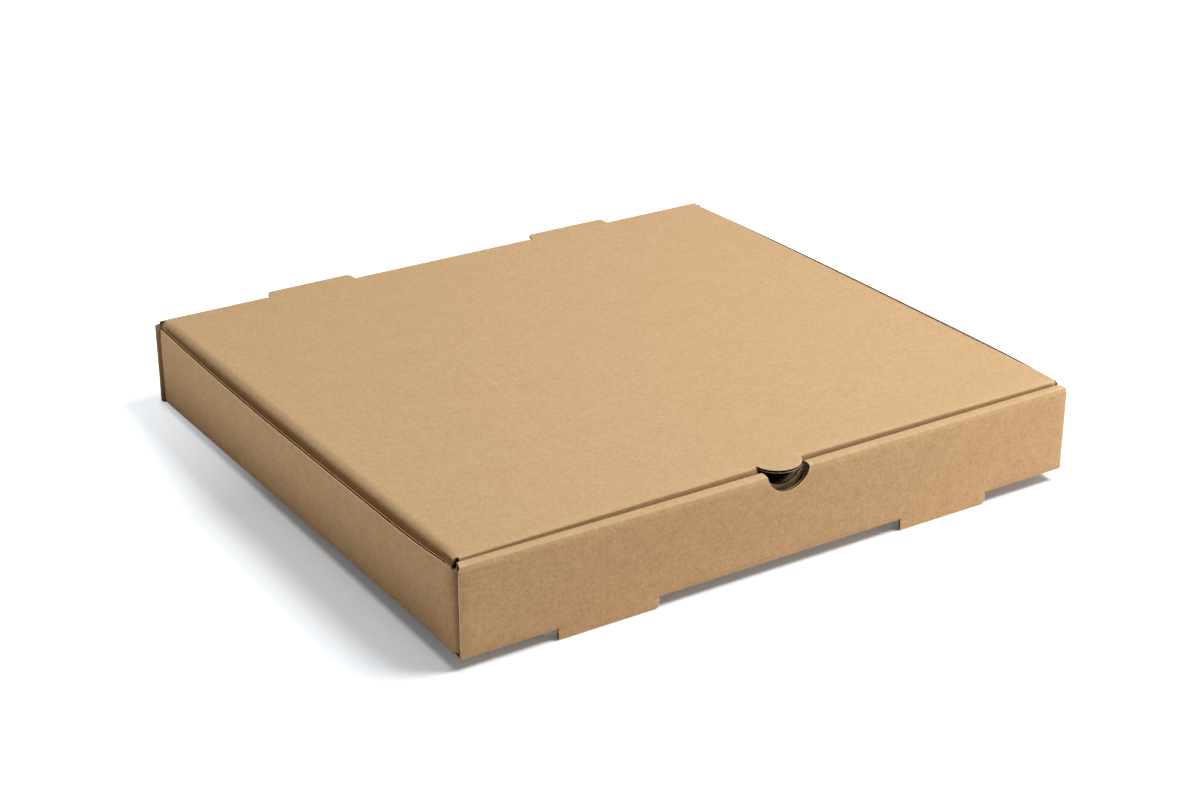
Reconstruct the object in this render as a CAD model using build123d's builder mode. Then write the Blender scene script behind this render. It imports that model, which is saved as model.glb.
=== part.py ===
# Pizza box folded from one blank of corrugated board: a tray with a rolled front wall, and a
# hinged lid that tucks inside it. Millimetres, +Z up, front wall towards -Y. The origin is on
# the ground, below the middle of the tray.
from build123d import *
import os
from math import hypot, pi, radians, sqrt, tan

os.makedirs("parts", exist_ok=True)

# Driving dimensions
board = 1.6  # thickness of the board
tray_width = 330.0  # over the side walls
tray_depth = 305.0  # over the front and rear walls
front_height = 43.4  # floor's underside to the top of the rolled front wall
side_step = 0.1  # side walls' raw top edge below the underside of the front strip
lid_rise = 1.2  # closed lid's top above the rolled front wall

# Folds and clearances
tray_fold = 0.9  # inside radius of the tray's folds
corner_fold = 2.0  # inside radius of the side walls' soft folds at the front corners
roll_fold = 0.5  # inside radius of the two folds on top of the front wall
lid_side_fold = 2.0  # inside radius of the soft folds along the lid's sides
lid_front_fold = 0.5  # inside radius of the fold at the lid's front
card_gap = 0.3  # between layers that lie loose on each other
slit = 0.4  # beside and beyond a tab that was cut free
corner_relief = 0.6  # open corner where two folds meet
lid_side_gap = 0.4  # between the lid's side flaps and the side walls
lid_front_gap = 1.4  # between the lid's front flap and the rolled front wall

# Feet cut out of the floor, and the lock tabs that fill their slots
foot_drop = 5.4
foot_width = 51.0
foot_offset = 92.0  # middle of the box to the middle of a foot
foot_round = 3.0
lock_inset = 1.5  # lock tab narrower than its foot, at each end
lock_reach = 1.4  # lock tab below the floor's underside
lock_corner = 1.2

# Corner flaps of the side walls
corner_flap_length = 45.0
corner_flap_cut = 9.0  # slanted lower corner of the free end
corner_flap_step = 2.6  # front corner flaps' top edge below that of the side walls
wall_corner_round = 2.4  # rounded top corner at each end of a side wall

# Inner panel of the front wall
strip_taper = 2.6  # strip narrower at its inner fold, at each end
strip_corner = 1.6  # blunted top corner at each end of the front wall
inner_panel_taper = 3.0  # inner panel narrower at its lower edge, at each end

# Thumb notch in the front wall, thumb tab on the lid
notch_radius = 12.0
notch_rise = 1.8  # centre of the notch above the front wall
inner_notch_lift = 1.3  # notch's lowest point higher in the inner panel
thumb_gap = 1.0  # thumb tab narrower than the notch, all round
thumb_set_back = 2.0  # centre of the thumb tab behind the lid's front face

# Lid flaps
side_flap_lift = 5.0  # side flaps' lower edge above the floor
side_flap_rear_set = 1.8  # side flaps' rear end in front of the hinge
side_flap_taper = 14.0  # side flaps shorter at their lower edge, at each end
front_flap_lift = 7.0  # front flap's lower edge above the floor
front_flap_lean = 5.0  # degrees, lower edge towards the rear
front_flap_taper = 9.0  # front flap shorter at its lower edge, at each end
lid_corner_inset = 0.8  # lid's rear corners inside its side faces

# Tabs at the rear crease, cut out of the rear wall
vent_width = 49.0
vent_offset = 78.6  # middle of the box to the middle of a tab
vent_reach = 5.2  # behind the rear wall
vent_round = 3.0
vent_slant = 2.0  # left end of a tab, shorter at the tab's rear edge

# Tray faces
side = tray_width / 2
front = -tray_depth / 2
rear = tray_depth / 2
under = foot_drop
floor_top = under + board
front_top = under + front_height
strip_under = front_top - board
strip_middle = front_top - board / 2
side_top = strip_under - side_step
side_middle = side - board / 2
floor_middle = floor_top - board / 2
panel_end = side - card_gap
fold_reach = board + tray_fold

# Layers of the rolled front wall, from the front
outer_middle = front + board / 2
outer_back = front + board
flap_front = outer_back + card_gap
front_flap_middle = flap_front + board / 2
flap_back = flap_front + board
inner_front = flap_back + card_gap
inner_middle = inner_front + board / 2
inner_back = inner_front + board
strip_end = panel_end - strip_taper
inner_foot_end = strip_end - inner_panel_taper
layer_foot = floor_top + card_gap
notch_half = sqrt(notch_radius**2 - notch_rise**2)
inner_notch_depth = notch_radius - notch_rise - inner_notch_lift
inner_notch_radius = (notch_half**2 + inner_notch_depth**2) / (2 * inner_notch_depth)
inner_notch_centre = front_top - inner_notch_depth + inner_notch_radius
foot_flat = under + fold_reach - (tray_fold + board / 2) * pi / 2  # length cut out of the floor
slot_back = front + fold_reach + foot_flat + slit

# Hinge on the middle of the board, where the lid and the rear wall meet
lid_top = front_top + lid_rise
lid_under = lid_top - board
hinge_y = rear - board / 2
hinge_z = lid_top - board / 2
rear_wall_top = lid_under - card_gap
rear_flap_middle = rear - board - card_gap - board / 2
rear_flap_front = rear_flap_middle - board / 2
vent_swing = hypot(rear + vent_reach - hinge_y, board / 2)
vent_foot = hinge_z - vent_swing - slit

# Side walls between their corner folds
wall_front = flap_back + corner_fold + corner_relief
wall_rear = rear_flap_front - tray_fold - corner_relief
flap_end = side - corner_flap_length
front_flap_top = side_top - corner_flap_step
rear_flap_top = vent_foot - card_gap

# Lid faces
lid_side = side - board - lid_side_gap
lid_side_middle = lid_side - board / 2
lid_flat = lid_side - board - lid_side_fold
lid_corner = lid_side - lid_corner_inset
lid_front = inner_back + lid_front_gap
lid_front_middle = lid_front + board / 2
lid_front_flat = lid_front + board + lid_front_fold
side_flap_rear = hinge_y - side_flap_rear_set
side_flap_foot = floor_top + side_flap_lift
side_flap_fold = lid_under - lid_side_fold
front_flap_foot = floor_top + front_flap_lift
front_flap_shift = (hinge_z - front_flap_foot) * tan(radians(front_flap_lean))
front_flap_fold = lid_under - lid_front_fold
thumb_radius = notch_radius - thumb_gap
thumb_centre = lid_front + thumb_set_back


def upright(y):
    """Plane that faces the front, at a distance y; it is extruded towards the rear by less than 0."""
    return Plane.XZ.offset(-y)


def folded_section(plane, middle, *inside_radii):
    """Section of a folded sheet: the line along the middle of the board, given its thickness."""
    with BuildSketch(plane) as section:
        with BuildLine():
            FilletPolyline(*middle, radius=[radius + board / 2 for radius in inside_radii])
        trace(line_width=board)
    return section.sketch


def cut_outline(plane, *points):
    """Straight-sided outline of a piece that is cut away."""
    with BuildSketch(plane) as outline:
        with BuildLine():
            Polyline(*points, close=True)
        make_face()
    return outline.sketch


with BuildPart() as front_wall:
    # Outer panel, top strip and inner panel in one strip of board
    front_line = [
        (front + 2 * fold_reach, floor_middle),
        (outer_middle, floor_middle),
        (outer_middle, strip_middle),
        (inner_middle, strip_middle),
        (inner_middle, layer_foot),
    ]
    front_section = folded_section(Plane.YZ, front_line, tray_fold, roll_fold, roll_fold)
    extrude(front_section, amount=panel_end, both=True)

    # Ends of the strip and of the inner panel, narrowed to pass between the side walls
    for end in (-1, 1):
        strip_end_cut = cut_outline(
            Plane.XY.offset(strip_under - roll_fold),
            (end * panel_end, outer_back),
            (end * strip_end, inner_front),
            (end * strip_end, inner_back),
            (end * side, inner_back),
            (end * side, outer_back),
        )
        extrude(strip_end_cut, amount=board + roll_fold, mode=Mode.SUBTRACT)
        inner_end_cut = cut_outline(
            upright(flap_back),
            (end * strip_end, front_top),
            (end * inner_foot_end, layer_foot),
            (end * side, layer_foot),
            (end * side, front_top),
        )
        extrude(inner_end_cut, amount=flap_back - inner_back, mode=Mode.SUBTRACT)
        corner_cut = cut_outline(
            upright(front),
            (end * panel_end, front_top - strip_corner),
            (end * (panel_end - strip_corner), front_top),
            (end * panel_end, front_top),
        )
        extrude(corner_cut, amount=front - inner_back, mode=Mode.SUBTRACT)

    # Thumb notch through the strip and both panels, less deep in the inner one
    with BuildSketch(upright(front)):
        with Locations((0, front_top + notch_rise)):
            Circle(notch_radius)
    extrude(amount=front - inner_front, mode=Mode.SUBTRACT)
    with BuildSketch(upright(inner_front)):
        with Locations((0, inner_notch_centre)):
            Circle(inner_notch_radius)
    extrude(amount=inner_front - inner_back, mode=Mode.SUBTRACT)


with BuildPart() as tray:
    # Floor panel
    with BuildSketch(Plane.XY.offset(under)):
        Rectangle(tray_width - 2 * fold_reach, tray_depth - 2 * fold_reach)
    extrude(amount=board)

    # Side walls: the fold at the floor, then a strip of wall and corner flap towards each end
    for end in (-1, 1):
        wall_line = [
            (end * (side - 2 * fold_reach), floor_middle),
            (end * side_middle, floor_middle),
            (end * side_middle, side_top),
        ]
        wall_section = folded_section(upright(wall_front), wall_line, tray_fold)
        extrude(wall_section, amount=wall_front - wall_rear)
        for flap_middle, fold, flap_top in (
            (front_flap_middle, corner_fold, front_flap_top),
            (rear_flap_middle, tray_fold, rear_flap_top),
        ):
            flap_line = [(end * flap_end, flap_middle), (end * side_middle, flap_middle), (end * side_middle, 0)]
            flap_section = folded_section(Plane.XY.offset(layer_foot), flap_line, fold)
            extrude(flap_section, amount=flap_top - layer_foot)
        slant = cut_outline(
            upright(front),
            (end * flap_end, layer_foot),
            (end * (flap_end + corner_flap_cut), layer_foot),
            (end * flap_end, layer_foot + corner_flap_cut),
        )
        extrude(slant, amount=-tray_depth, mode=Mode.SUBTRACT)
    fillet(tray.edges().group_by(Axis.Z)[-1].filter_by(Axis.X), wall_corner_round)

    # Rear wall, with the two vents that the lid's rear tabs were cut from
    rear_line = [
        (rear - 2 * fold_reach, floor_middle),
        (hinge_y, floor_middle),
        (hinge_y, rear_wall_top),
    ]
    extrude(folded_section(Plane.YZ, rear_line, tray_fold), amount=panel_end, both=True)
    with BuildSketch(upright(rear)):
        with Locations((-vent_offset, vent_foot), (vent_offset, vent_foot)):
            Rectangle(vent_width + 2 * slit, lid_top - vent_foot, align=(Align.CENTER, Align.MIN))
    extrude(amount=board, mode=Mode.SUBTRACT)

    # Front wall, with two slots along its lower fold
    add(front_wall.part)
    with BuildSketch(Plane.XY.offset(under)):
        with Locations((-foot_offset, front), (foot_offset, front)):
            Rectangle(foot_width + 2 * slit, slot_back - front, align=(Align.CENTER, Align.MIN))
    extrude(amount=board, mode=Mode.SUBTRACT)
    with BuildSketch(Plane.XY.offset(floor_top)):
        with Locations((-foot_offset, front), (foot_offset, front)):
            Rectangle(foot_width + 2 * slit, fold_reach, align=(Align.CENTER, Align.MIN))
    extrude(amount=tray_fold, mode=Mode.SUBTRACT)

    # Feet, where the outer panel runs on down in front of the slots
    with BuildSketch(upright(outer_back)) as feet:
        with Locations((-foot_offset, 0), (foot_offset, 0)):
            Rectangle(foot_width, under + fold_reach, align=(Align.CENTER, Align.MIN))
        fillet(feet.vertices().group_by(Axis.Y)[0].sort_by(Axis.X)[1::2], foot_round)
    extrude(amount=board)

    # Lock tabs, where the inner panel runs on down into the slots
    with BuildSketch(upright(inner_front)) as locks:
        with Locations((-foot_offset, under - lock_reach), (foot_offset, under - lock_reach)):
            lock_size = (foot_width - 2 * lock_inset, layer_foot - under + lock_reach)
            Rectangle(*lock_size, align=(Align.CENTER, Align.MIN))
        chamfer(locks.vertices().group_by(Axis.Y)[0], lock_corner)
    extrude(amount=-board)

tray.part.label = "tray"
export_step(tray.part, "parts/tray.step")


with BuildPart() as lid:
    # Top panel between its folds, widened at the rear corners beyond the side flaps
    with BuildSketch(Plane.XY.offset(lid_under)):
        with Locations((0, hinge_y)):
            Rectangle(2 * lid_flat, hinge_y - lid_front_flat, align=(Align.CENTER, Align.MAX))
            Rectangle(2 * lid_corner, side_flap_rear_set - slit, align=(Align.CENTER, Align.MAX))
    extrude(amount=board)

    # Side flaps, cut to a taper at both ends
    side_line = [
        (-lid_side_middle, side_flap_foot),
        (-lid_side_middle, hinge_z),
        (lid_side_middle, hinge_z),
        (lid_side_middle, side_flap_foot),
    ]
    side_section = folded_section(upright(lid_front_flat), side_line, lid_side_fold, lid_side_fold)
    extrude(side_section, amount=lid_front_flat - side_flap_rear)
    for flap_edge, taper in ((lid_front_flat, side_flap_taper), (side_flap_rear, -side_flap_taper)):
        flap_end_cut = cut_outline(
            Plane.YZ,
            (flap_edge, side_flap_fold),
            (flap_edge + taper, side_flap_foot),
            (flap_edge, side_flap_foot),
        )
        extrude(flap_end_cut, amount=lid_side, both=True, mode=Mode.SUBTRACT)

    # Front flap, leaning in so that it clears the front wall as it swings up
    front_flap_line = [
        (lid_front_flat + board, hinge_z),
        (lid_front_middle, hinge_z),
        (lid_front_middle + front_flap_shift, front_flap_foot),
    ]
    extrude(folded_section(Plane.YZ, front_flap_line, lid_front_fold), amount=lid_flat, both=True)
    for end in (-1, 1):
        flap_end_cut = cut_outline(
            upright(lid_front),
            (end * lid_flat, front_flap_fold),
            (end * (lid_flat - front_flap_taper), front_flap_foot - board),
            (end * lid_flat, front_flap_foot - board),
        )
        extrude(flap_end_cut, amount=-(board + front_flap_shift + board), mode=Mode.SUBTRACT)

    # Thumb tab, cut from the front flap and left level with the top panel
    with BuildSketch(upright(lid_front - board)):
        with Locations((0, lid_top + thumb_set_back)):
            Circle(thumb_radius + slit)
    extrude(amount=lid_front - board - lid_front_flat, mode=Mode.SUBTRACT)
    with BuildSketch(Plane.XY.offset(lid_under)):
        with Locations((0, thumb_centre)):
            Circle(thumb_radius)
    extrude(amount=board)

    # Rear edge, rounded about the hinge line
    with BuildSketch(Plane.YZ):
        with Locations((hinge_y, hinge_z)):
            Circle(board / 2)
    extrude(amount=lid_corner, both=True)

    # Tabs at the rear crease
    with BuildSketch(Plane.XY.offset(lid_under)) as rear_tabs:
        tab_half = vent_width / 2
        tab_end = rear + vent_reach - hinge_y
        tab_outline = [(-tab_half, 0), (tab_half, 0), (tab_half, tab_end), (vent_slant - tab_half, tab_end)]
        with Locations((-vent_offset, hinge_y), (vent_offset, hinge_y)):
            Polygon(*tab_outline, align=None)
        fillet(rear_tabs.vertices().group_by(Axis.Y)[-1].sort_by(Axis.X)[1::2], vent_round)
    extrude(amount=board)

lid.part.label = "lid"
export_step(lid.part, "parts/lid.step")
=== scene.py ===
# Looks of the pizza box. Its blank is cut as flat outlines, built up from two paper liners and a
# fluted core, and folded into shape. Sizes are in millimetres until a mesh is made.
import math

import bpy
import numpy as np
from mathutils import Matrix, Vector
from mathutils.geometry import delaunay_2d_cdt
from mathutils.kdtree import KDTree


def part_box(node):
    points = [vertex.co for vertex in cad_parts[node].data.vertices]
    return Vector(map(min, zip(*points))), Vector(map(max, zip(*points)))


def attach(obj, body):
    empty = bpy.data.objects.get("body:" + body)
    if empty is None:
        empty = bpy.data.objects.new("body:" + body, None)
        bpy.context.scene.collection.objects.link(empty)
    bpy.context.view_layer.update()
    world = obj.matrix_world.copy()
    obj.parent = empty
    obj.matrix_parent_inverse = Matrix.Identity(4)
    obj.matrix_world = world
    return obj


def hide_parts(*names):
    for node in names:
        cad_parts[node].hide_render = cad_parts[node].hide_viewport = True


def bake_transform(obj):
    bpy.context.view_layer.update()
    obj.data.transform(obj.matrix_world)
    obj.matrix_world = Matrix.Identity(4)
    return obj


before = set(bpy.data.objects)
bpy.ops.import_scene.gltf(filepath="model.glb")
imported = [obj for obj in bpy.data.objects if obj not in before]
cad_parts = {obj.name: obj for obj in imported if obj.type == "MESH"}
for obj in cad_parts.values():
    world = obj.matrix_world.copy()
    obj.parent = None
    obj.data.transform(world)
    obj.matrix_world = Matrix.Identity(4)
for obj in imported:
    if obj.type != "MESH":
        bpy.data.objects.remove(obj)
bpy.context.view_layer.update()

MM = 0.001
tray_low, tray_high = (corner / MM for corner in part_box("tray"))
lid_low, lid_high = (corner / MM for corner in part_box("lid"))

# Corrugated board
BOARD = 1.6
HALF = BOARD / 2
LINER = 0.28
CORE = 0.16
FLUTE_PITCH = 3.2
FLUTE_STEPS = 8
FLUTE_GAP = 0.01
FLUTE_SWING = HALF - LINER - CORE / 2 - FLUTE_GAP
LAYER_STEP = 60.0  # between the papers' patterns

# Mesh fineness
EDGE_STEP = 2.5
RIM_DEPTHS = (0.5, 1.6)
RIM_CLEAR = 0.85
GRID = 10.0
CORE_GRID = 30.0
CORE_SET_BACK = 2.0
CORE_SHORTEST = 1.0
CORE_MARK_GAP = 0.5
BEND_STEPS = 8
CORNER_STEPS = 6
WALL_STEPS = 5
THUMB_STEPS = 24
NOTCH_STEPS = 14
INNER_NOTCH_STEPS = 8
FOLD_MARGINS = (0.25, 0.8, 1.6, 2.8)
SHARP_ANGLE = math.radians(35)
TOUCH = 0.01

# Shares of the bake map for the face of a liner that shows and for the hidden one
BAKE_MARGIN = 2.0
SHOWN_SHARE = (1.0, 0.86)
HIDDEN_SHARE = (0.3, 0.12)
HIDDEN_PLACE = (0.0, 0.87)

# Folds, as radii at the middle of the board, which is pressed thin along most of them
CREASE_FOLD = 1.2
TRAY_FOLD = 1.0
CORNER_FOLD = 2.8
ROLL_FOLD = 0.6
LID_LEFT_FOLD = 3.9
LID_END_FOLD = 2.0
LID_RIGHT_FOLD = 1.0
LID_END_REACH = 7.0
LID_FRONT_FOLD = 0.6
FOLD_CRUSH = 0.42
FOLD_REACH = 1.1
CARD_GAP = 0.3
SLIT = 0.4
RELIEF = 0.6

# Faces of the tray
SIDE = tray_high.x
FRONT = tray_low.y
REAR = tray_high.y
FRONT_TOP = tray_high.z
UNDER = 5.4
SIDE_STEP = 0.1
SIDE_TOP = FRONT_TOP - BOARD - SIDE_STEP
SIDE_MIDDLE = SIDE - HALF
FLOOR_MIDDLE = UNDER + HALF
FLOOR_TOP = UNDER + BOARD
FLOOR_HALF = SIDE_MIDDLE - TRAY_FOLD
PANEL_END = SIDE - CARD_GAP
OUTER_MIDDLE = FRONT + HALF
FLAP_MIDDLE = OUTER_MIDDLE + BOARD + CARD_GAP
INNER_MIDDLE = FLAP_MIDDLE + BOARD + CARD_GAP
STRIP_MIDDLE = FRONT_TOP - HALF
INNER_FOOT = FLOOR_TOP + CARD_GAP
STRIP_TAPER = 2.6
STRIP_CORNER = 1.6
INNER_TAPER = 3.0

# Feet and lock tabs
FOOT_OFFSET = 92.0
FOOT_HALF = 25.5
FOOT_ROUND = 3.0
LOCK_INSET = 1.5
LOCK_REACH = 1.4
LOCK_CORNER = 1.2

# Corner flaps of the side walls
FLAP_LENGTH = 45.0
FLAP_END = SIDE - FLAP_LENGTH
FLAP_CUT = 9.0
FLAP_STEP = 2.6
FRONT_FLAP_TOP = SIDE_TOP - FLAP_STEP
WALL_ROUND = 2.4
REAR_FLAP_MIDDLE = REAR - BOARD - CARD_GAP - HALF

# Lid
LID_TOP = lid_high.z
LID_MIDDLE = LID_TOP - HALF
LID_SIDE_MIDDLE = lid_high.x - HALF
LID_LEFT = LID_SIDE_MIDDLE - LID_LEFT_FOLD
LID_END = LID_SIDE_MIDDLE - LID_END_FOLD
LID_RIGHT = LID_SIDE_MIDDLE - LID_RIGHT_FOLD
LID_CORNER_INSET = 0.8
LID_CORNER = lid_high.x - LID_CORNER_INSET
LID_FRONT_GAP = 1.4
LID_FRONT_MIDDLE = INNER_MIDDLE + HALF + LID_FRONT_GAP + HALF
SIDE_FLAP_FOOT = lid_low.z
SIDE_FLAP_REAR_SET = 1.8
SIDE_FLAP_TAPER = 14.0
FRONT_FLAP_LIFT = 7.0
FRONT_FLAP_FOOT = FLOOR_TOP + FRONT_FLAP_LIFT
FRONT_FLAP_LEAN = math.radians(5)
FRONT_FLAP_TAPER = 9.0

# Thumb notch and thumb tab
NOTCH_RADIUS = 11.8
NOTCH_RISE = 1.8
NOTCH_END = -12
INNER_NOTCH_END = 53
INNER_NOTCH_LIFT = 1.3
THUMB_RADIUS = 11.5
THUMB_CENTRE = lid_low.y + THUMB_RADIUS
THUMB_SHIFT = 0.6
NOTCH_SHIFT = 0.8

# Rear tabs and the vents they were cut from
HINGE_Y = REAR - HALF
TAB_END = lid_high.y
TAB_OFFSET = 78.6
TAB_HALF = 24.5
TAB_ROUND = 3.0
TAB_SLANT = 2.0
VENT_FOOT = LID_MIDDLE - math.hypot(TAB_END - HINGE_Y, HALF) - SLIT
REAR_FLAP_TOP = VENT_FOOT - CARD_GAP

# How the lid settles
LEFT_DROP = 1.3
RIGHT_LIFT = 0.2
LEFT_LEAN = 0.7
RIGHT_LEAN = 1.1
RIGHT_CORNER = 0.5
RIGHT_FORWARD = 0.8
LID_FRONT_REACH = 40.0

# How the tray settles
STRIP_DIP = 0.3
FRONT_DIP = 0.5
FRONT_BULGE = 0.7
ROLL_DEPTH = (INNER_MIDDLE + 2 * BOARD, INNER_MIDDLE + 6 * BOARD)
FRONT_SAG = 0.9
SAG_SKEW = 3.0
SAG_DEPTH = (FLAP_MIDDLE, FLAP_MIDDLE + 20 * BOARD)
SAG_HEIGHT = (UNDER, UNDER + 15 * BOARD)
LEFT_BULGE = 3.6
LEFT_POWER = 8
RIGHT_BULGE = 4.8
RIGHT_POWER = 6
RIGHT_REAR_SHARE = 0.7
RIGHT_DEPTH = (FLAP_MIDDLE, FLAP_MIDDLE + 3 * BOARD)
BULGE_SIDE = (SIDE - 6, SIDE - 2)
CORNER_BACK = 3.5
CORNER_FOOT_SHARE = 0.5
CORNER_DEPTH = (FLAP_MIDDLE + 6 * BOARD, FLAP_MIDDLE + HALF)
CORNER_SIDE = (SIDE - 5 * BOARD, SIDE - 2 * BOARD)
REAR_END = 1.3
REAR_END_DEPTH = (REAR - 1.5 * BOARD, REAR - BOARD)
REAR_END_SIDE = (SIDE - 8, SIDE - 1)

# Cut edges: crushed, and paler, partly from wear and partly as a painted highlight
EDGE_CRUSH = 0.14
CRUSH_REACH = 1.3
WEAR_AND_HIGHLIGHT_REACH = 0.3


class FoldLine:
    """Middle line of a folded sheet, measured along its length. The blank's outside is on its left."""

    def __init__(self, corners, radii):
        points = np.array(corners, float)
        radii = np.array(radii, float)
        steps = np.diff(points, axis=0)
        headings = np.unwrap(np.arctan2(steps[:, 1], steps[:, 0]))
        turns = np.diff(headings)
        reach = radii * np.tan(np.abs(turns) / 2)
        straight = np.hypot(steps[:, 0], steps[:, 1])
        straight[:-1] -= reach
        straight[1:] -= reach
        # Straight runs and bends take turns
        runs = len(straight) + len(turns)
        lengths = np.zeros(runs)
        lengths[0::2] = straight
        lengths[1::2] = np.abs(turns) * radii
        self.bend = np.zeros(runs)
        self.bend[1::2] = np.sign(turns) / radii
        self.heading = np.repeat(headings, 2)[:runs]
        self.start = np.concatenate([[0.0], np.cumsum(lengths)[:-1]])
        self.place = np.zeros((runs, 2))
        self.place[0] = points[0]
        for run in range(runs - 1):
            across, up, _ = self.travel(run, lengths[run])
            self.place[run + 1] = self.place[run] + (across, up)
        self.folds = [(self.start[i], self.start[i] + lengths[i]) for i in range(1, runs, 2)]
        self.length = lengths.sum()

    def travel(self, run, along):
        """Step made along a run, and the heading at its end."""
        start = self.heading[run]
        bend = self.bend[run]
        heading = start + bend * along
        radius = 1 / np.where(bend == 0, 1, bend)
        across = np.where(bend == 0, along * np.cos(start), (np.sin(heading) - np.sin(start)) * radius)
        up = np.where(bend == 0, along * np.sin(start), (np.cos(start) - np.cos(heading)) * radius)
        return across, up, heading

    def at(self, length):
        """Place of each length on the line, and the direction to its left there."""
        run = np.clip(np.searchsorted(self.start, length, side="right") - 1, 0, None)
        across, up, heading = self.travel(run, length - self.start[run])
        return self.place[run, 0] + across, self.place[run, 1] + up, -np.sin(heading), np.cos(heading)

    def stations(self):
        """Lengths at which the mesh is divided: through each fold and just beyond it."""
        marks = []
        for start, end in self.folds:
            marks += [start - margin for margin in FOLD_MARGINS]
            marks += [*np.linspace(start, end, BEND_STEPS + 1)]
            marks += [end + margin for margin in FOLD_MARGINS]
        return [mark for mark in marks if 0 <= mark <= self.length]


# Lid from the lower edge of its front flap, over the front fold, to the end of the rear tabs
flap_shift = (LID_MIDDLE - FRONT_FLAP_FOOT) * math.tan(FRONT_FLAP_LEAN)
lid_line = FoldLine(
    [
        (LID_FRONT_MIDDLE + flap_shift, FRONT_FLAP_FOOT),
        (LID_FRONT_MIDDLE, LID_MIDDLE),
        (TAB_END, LID_MIDDLE),
    ],
    [LID_FRONT_FOLD],
)
left_line, end_line, right_line = (
    FoldLine([(0, LID_MIDDLE), (LID_SIDE_MIDDLE, LID_MIDDLE), (LID_SIDE_MIDDLE, SIDE_FLAP_FOOT)], [radius])
    for radius in (LID_LEFT_FOLD, LID_END_FOLD, LID_RIGHT_FOLD)
)

# Tray from the crease at the lid, down the rear, along the floor, up and over the front
tray_line = FoldLine(
    [
        (HINGE_Y - CREASE_FOLD, LID_MIDDLE),
        (HINGE_Y, LID_MIDDLE),
        (HINGE_Y, FLOOR_MIDDLE),
        (OUTER_MIDDLE, FLOOR_MIDDLE),
        (OUTER_MIDDLE, STRIP_MIDDLE),
        (INNER_MIDDLE, STRIP_MIDDLE),
        (INNER_MIDDLE, UNDER - LOCK_REACH),
    ],
    [CREASE_FOLD, TRAY_FOLD, TRAY_FOLD, ROLL_FOLD, ROLL_FOLD],
)
side_line = FoldLine(
    [(FLOOR_HALF, FLOOR_MIDDLE), (SIDE_MIDDLE, FLOOR_MIDDLE), (SIDE_MIDDLE, SIDE_TOP)],
    [TRAY_FOLD],
)
# Side wall seen from above, from the end of its rear corner flap to the end of its front one
wall_line = FoldLine(
    [
        (FLAP_END, REAR_FLAP_MIDDLE),
        (SIDE_MIDDLE, REAR_FLAP_MIDDLE),
        (SIDE_MIDDLE, FLAP_MIDDLE),
        (FLAP_END, FLAP_MIDDLE),
    ],
    [TRAY_FOLD, CORNER_FOLD],
)
crease, rear_fold, front_fold, roll_out, roll_in = tray_line.folds
lid_fold = lid_line.folds[0]


def lid_v(y):
    """Length along the lid's line at a place on its top panel."""
    bend = LID_FRONT_FOLD * math.tan((math.pi / 2 + FRONT_FLAP_LEAN) / 2)
    return lid_fold[1] + y - (LID_FRONT_MIDDLE + bend)


def rear_v(z):
    """Length along the tray's line at a height on the rear wall."""
    return rear_fold[0] - (z - FLOOR_MIDDLE - TRAY_FOLD)


def floor_v(y):
    """Length along the tray's line at a place on the floor."""
    return front_fold[0] - (y - OUTER_MIDDLE - TRAY_FOLD)


def front_v(z):
    """Length along the tray's line at a height on the outer front panel."""
    return front_fold[1] + (z - FLOOR_MIDDLE - TRAY_FOLD)


def inner_v(z):
    """Length along the tray's line at a height on the inner front panel."""
    return roll_in[1] - (z - STRIP_MIDDLE + ROLL_FOLD)


crease_v = lid_v(HINGE_Y - CREASE_FOLD)
wall_rear_v = floor_v(REAR_FLAP_MIDDLE - TRAY_FOLD - RELIEF)
wall_front_v = floor_v(FLAP_MIDDLE + CORNER_FOLD + RELIEF)
wall_step_v = wall_front_v + WALL_ROUND + RELIEF
lid_flap_v = lid_v(HINGE_Y - SIDE_FLAP_REAR_SET)
wall_shift = floor_v(REAR_FLAP_MIDDLE - TRAY_FOLD) - wall_line.folds[0][1]
foot_end_v = front_fold[1] - (FLOOR_MIDDLE + TRAY_FOLD - tray_low.z)
thumb_v = lid_v(THUMB_CENTRE)
wall_foot_u = FLOOR_HALF + side_line.folds[0][1]
wall_top_u = FLOOR_HALF + side_line.length
front_flap_u = wall_foot_u + FRONT_FLAP_TOP - FLOOR_MIDDLE - TRAY_FOLD
rear_flap_u = wall_foot_u + REAR_FLAP_TOP - FLOOR_MIDDLE - TRAY_FOLD


def arc(centre, radius, start, end, count):
    """Points along an arc, its angles in degrees."""
    angles = np.radians(np.linspace(start, end, count + 1))
    return [(centre[0] + radius * math.cos(a), centre[1] + radius * math.sin(a)) for a in angles]


def mirrored(points):
    """The same points left of the middle, in reverse order."""
    return [(-u, v) for u, v in reversed(points)]


def lid_side(flat, line):
    """Outline of one half of the lid, from the lower edge of its front flap to the rear crease."""
    bend_u = line.folds[0][1]
    return [
        (flat - FRONT_FLAP_TAPER, 0),
        (flat, lid_fold[0]),
        (flat, lid_fold[1]),
        (bend_u, lid_fold[1]),
        (line.length, lid_fold[1] + SIDE_FLAP_TAPER),
        (line.length, lid_flap_v - SIDE_FLAP_TAPER),
        (bend_u, lid_flap_v),
        (flat, lid_flap_v),
        (flat, lid_flap_v + SLIT),
        (LID_CORNER, lid_flap_v + SLIT),
        (LID_CORNER, crease_v),
    ]


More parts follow.
